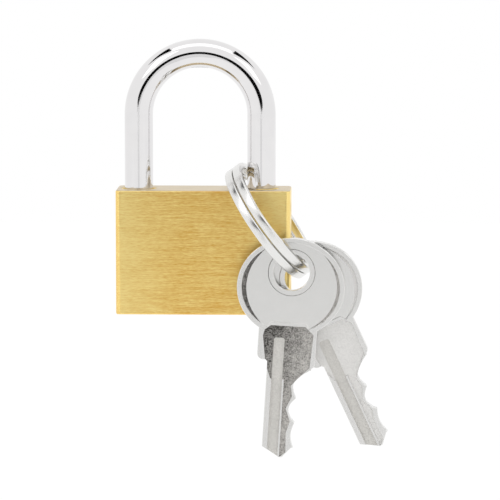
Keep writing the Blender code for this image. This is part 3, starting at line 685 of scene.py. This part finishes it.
def spring_tree():
    """A coil along +Z: sizes, turns and placing are its inputs."""
    tree = bpy.data.node_groups.new("coil_spring", "GeometryNodeTree")
    inputs = {}
    kinds = {"Turns": "Float", "Radius": "Float", "Height": "Float", "Wire": "Float"}
    kinds.update({"Place": "Vector", "Turn": "Vector", "Finish": "Material"})
    for name, kind in kinds.items():
        socket = tree.interface.new_socket(name, in_out="INPUT", socket_type=f"NodeSocket{kind}")
        inputs[name] = socket.identifier
    tree.interface.new_socket("Spring", in_out="OUTPUT", socket_type="NodeSocketGeometry")
    nodes, links = tree.nodes, tree.links
    given = nodes.new("NodeGroupInput")
    spiral = nodes.new("GeometryNodeCurveSpiral")
    spiral.inputs["Resolution"].default_value = 40
    links.new(given.outputs["Turns"], spiral.inputs["Rotations"])
    links.new(given.outputs["Radius"], spiral.inputs["Start Radius"])
    links.new(given.outputs["Radius"], spiral.inputs["End Radius"])
    links.new(given.outputs["Height"], spiral.inputs["Height"])
    ring = nodes.new("GeometryNodeCurvePrimitiveCircle")
    ring.inputs["Resolution"].default_value = 12
    links.new(given.outputs["Wire"], ring.inputs["Radius"])
    sweep = nodes.new("GeometryNodeCurveToMesh")
    sweep.inputs["Fill Caps"].default_value = True
    links.new(spiral.outputs["Curve"], sweep.inputs["Curve"])
    links.new(ring.outputs["Curve"], sweep.inputs["Profile Curve"])
    move = nodes.new("GeometryNodeTransform")
    links.new(sweep.outputs["Mesh"], move.inputs["Geometry"])
    links.new(given.outputs["Place"], move.inputs["Translation"])
    links.new(given.outputs["Turn"], move.inputs["Rotation"])
    real = nodes.new("GeometryNodeRealizeInstances")
    links.new(move.outputs["Geometry"], real.inputs["Geometry"])
    finish = nodes.new("GeometryNodeSetMaterial")
    links.new(real.outputs["Geometry"], finish.inputs["Geometry"])
    links.new(given.outputs["Finish"], finish.inputs["Material"])
    links.new(finish.outputs["Geometry"], nodes.new("NodeGroupOutput").inputs["Spring"])
    return tree, inputs


def springs():
    """Each spring fills the box of its CAD coil, along X for the pins and latch and along Z under the shackle."""
    tree, inputs = spring_tree()
    sizes = [(f"pin_spring_{i}", *PIN_SPRING, True) for i in (1, 2, 3)]
    sizes += [("latch_spring", *LATCH_SPRING, True), ("shackle_spring", *SHACKLE_SPRING, False)]
    for node, turns, wire, along_x in sizes:
        low, high = (Vector(corner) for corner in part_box(node))
        centre = (low + high) / 2
        span = high - low
        height = (span.x if along_x else span.z) - 2 * wire
        radius = min(span.y, span.z if along_x else span.x) / 2 - wire
        start = (low.x + wire, centre.y, centre.z) if along_x else (centre.x, centre.y, low.z + wire)
        holder = helper(f"{node}_wire", bpy.data.meshes.new("coil"))
        coil = holder.modifiers.new("coil", "NODES")
        coil.node_group = tree
        values = {"Turns": turns, "Radius": radius, "Height": height, "Wire": wire, "Place": Vector(start)}
        values.update({"Turn": Vector((0, pi / 2 if along_x else 0, 0)), "Finish": STEEL})
        for name, value in values.items():
            coil[inputs[name]] = value
        mesh = baked(holder)
        piece = add_piece(f"{node}_wire", mesh, [STEEL], sharp=60)
        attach(piece, "body")
        if node.startswith("pin_spring"):
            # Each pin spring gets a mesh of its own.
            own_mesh(piece)
        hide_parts(node)


def finish_small_parts():
    """The turned pins, caps, latch and plug keep their CAD shapes and take their metals."""
    for node in frame["nodes"]:
        obj = bpy.data.objects.get(node)
        if obj is None or not obj.data.materials:
            continue
        steel = node.startswith("driver") or node == "latch"
        for slot in obj.material_slots:
            slot.material = STEEL if steel else TURNED


def card(name, centre, outline, colour, strength=0.0):
    """A flat studio card of the outline given, facing the lock and seen only in reflections."""
    mesh = mesh_of(lambda bm: bm.faces.new([bm.verts.new((x, y, 0)) for x, y in outline]))
    obj = helper(name, mesh)
    back = (Vector(centre) - CARD_AIM).normalized()
    level = Vector((0, 0, 1)).cross(back) if abs(back.z) < 0.99 else Vector((1, 0, 0))
    level.normalize()
    turn = Matrix((level, back.cross(level), back)).transposed().to_4x4()
    obj.matrix_world = Matrix.Translation(Vector(centre)) @ turn
    look = bpy.data.materials.new(name)
    look.use_nodes = True
    shader = look.node_tree.nodes["Principled BSDF"]
    shader.inputs["Base Color"].default_value = (0.004, 0.004, 0.004, 1)
    shader.inputs["Roughness"].default_value = 1.0
    shader.inputs["Specular IOR Level"].default_value = 0.0
    shader.inputs["Emission Color"].default_value = (*colour, 1)
    shader.inputs["Emission Strength"].default_value = strength
    mesh.materials.append(look)
    obj.visible_camera = False
    obj.visible_shadow = False
    obj.visible_diffuse = False


def oval(half_x, half_y, steps=48):
    return [(half_x * cos(2 * pi * i / steps), half_y * sin(2 * pi * i / steps)) for i in range(steps)]


def studio():
    world = bpy.data.worlds.new("studio")
    bpy.context.scene.world = world
    world.use_nodes = True
    sky = world.node_tree.nodes["Background"]
    sky.inputs["Color"].default_value = (*WHITE, 1)
    sky.inputs["Strength"].default_value = 1.0
    ground = mesh_of(lambda bm: bmesh.ops.create_grid(bm, x_segments=1, y_segments=1, size=FLOOR_HALF))
    floor = helper("floor", ground)
    floor.location.z = FLOOR_Z
    look = bpy.data.materials.new("floor")
    look.use_nodes = True
    shader = look.node_tree.nodes["Principled BSDF"]
    shader.inputs["Base Color"].default_value = (0.8, 0.8, 0.8, 1)
    shader.inputs["Roughness"].default_value = 1.0
    shader.inputs["Specular IOR Level"].default_value = 0.0
    shader.inputs["Emission Color"].default_value = (*WHITE, 1)
    shader.inputs["Emission Strength"].default_value = 0.22
    floor.data.materials.append(look)
    card("low_dark_card", (0.0, -0.4, 0.0265), oval(0.178, 0.0625), BLACK)
    tall = [(-0.05, -0.09), (0.05, -0.09), (0.05, 0.085), (-0.05, 0.085)]
    card("camera_card", (0.0, -0.4, -0.125), tall, WHITE, 0.84)
    wide = [(-0.2, -0.1), (0.2, -0.1), (0.2, 0.1), (-0.2, 0.1)]
    card("top_light_card", (0.0, -0.11, 0.38), wide, WHITE, 1.4)
    for side in (-1, 1):
        wedge = [(0.13, 0.08), (0.0, -0.09), (-0.13, 0.08)]
        card(f"high_dark_card_{side + 1}", (side * 0.257, -0.01, 0.306), wedge, BLACK)
    for name, x, energy in (("key_light", -0.25, 0.12), ("fill_light", 0.3, 0.08)):
        light = bpy.data.lights.new(name, "AREA")
        light.size = 0.2
        light.energy = energy
        lamp = helper(name, light)
        lamp.location = (x, -0.3, 0.25)
        lamp.rotation_mode = "QUATERNION"
        lamp.rotation_quaternion = (lamp.location - LAMP_AIM).to_track_quat("Z", "Y")


def camera():
    data = bpy.data.cameras.new("camera")
    data.sensor_width = SENSOR
    data.lens = SENSOR * VIEW_DISTANCE / VIEW_WIDTH
    data.clip_start = 0.01
    back = Vector((
        sin(VIEW_AZIMUTH) * cos(VIEW_ELEVATION), -cos(VIEW_AZIMUTH) * cos(VIEW_ELEVATION), sin(VIEW_ELEVATION)
    ))
    viewer = helper("camera", data)
    viewer.location = VIEW_CENTRE + back * VIEW_DISTANCE
    viewer.rotation_mode = "QUATERNION"
    viewer.rotation_quaternion = back.to_track_quat("Z", "Y")
    bpy.context.scene.camera = viewer
    bpy.context.scene.view_settings.view_transform = "Standard"


BRASS = brushed_brass()
TURNED = turned_brass()
CHROME = chrome()
RING_NICKEL = nickel("ring_nickel", 0.17, 0.1)
KEY_NICKEL = nickel("key_nickel", 0.14, 0.12)
FRONT_GRAIN = stamped_grain("front_key_grain", (0.02, 0.018, 0.016), (0.62, 0.6, 0.57), 0.14)
BACK_GRAIN = stamped_grain("back_key_grain", (0.72, 0.71, 0.69), (0.86, 0.85, 0.83), 0.0)
GROOVE_NICKEL = stamped_grain("key_groove_nickel", (0.6, 0.585, 0.555), (0.78, 0.765, 0.73), 0.0)
STEEL = spring_steel()

camera()
lock_body()
shackle()
split_ring()
key("key_front", FRONT_GRAIN)
key("key_back", BACK_GRAIN)
springs()
finish_small_parts()
studio()
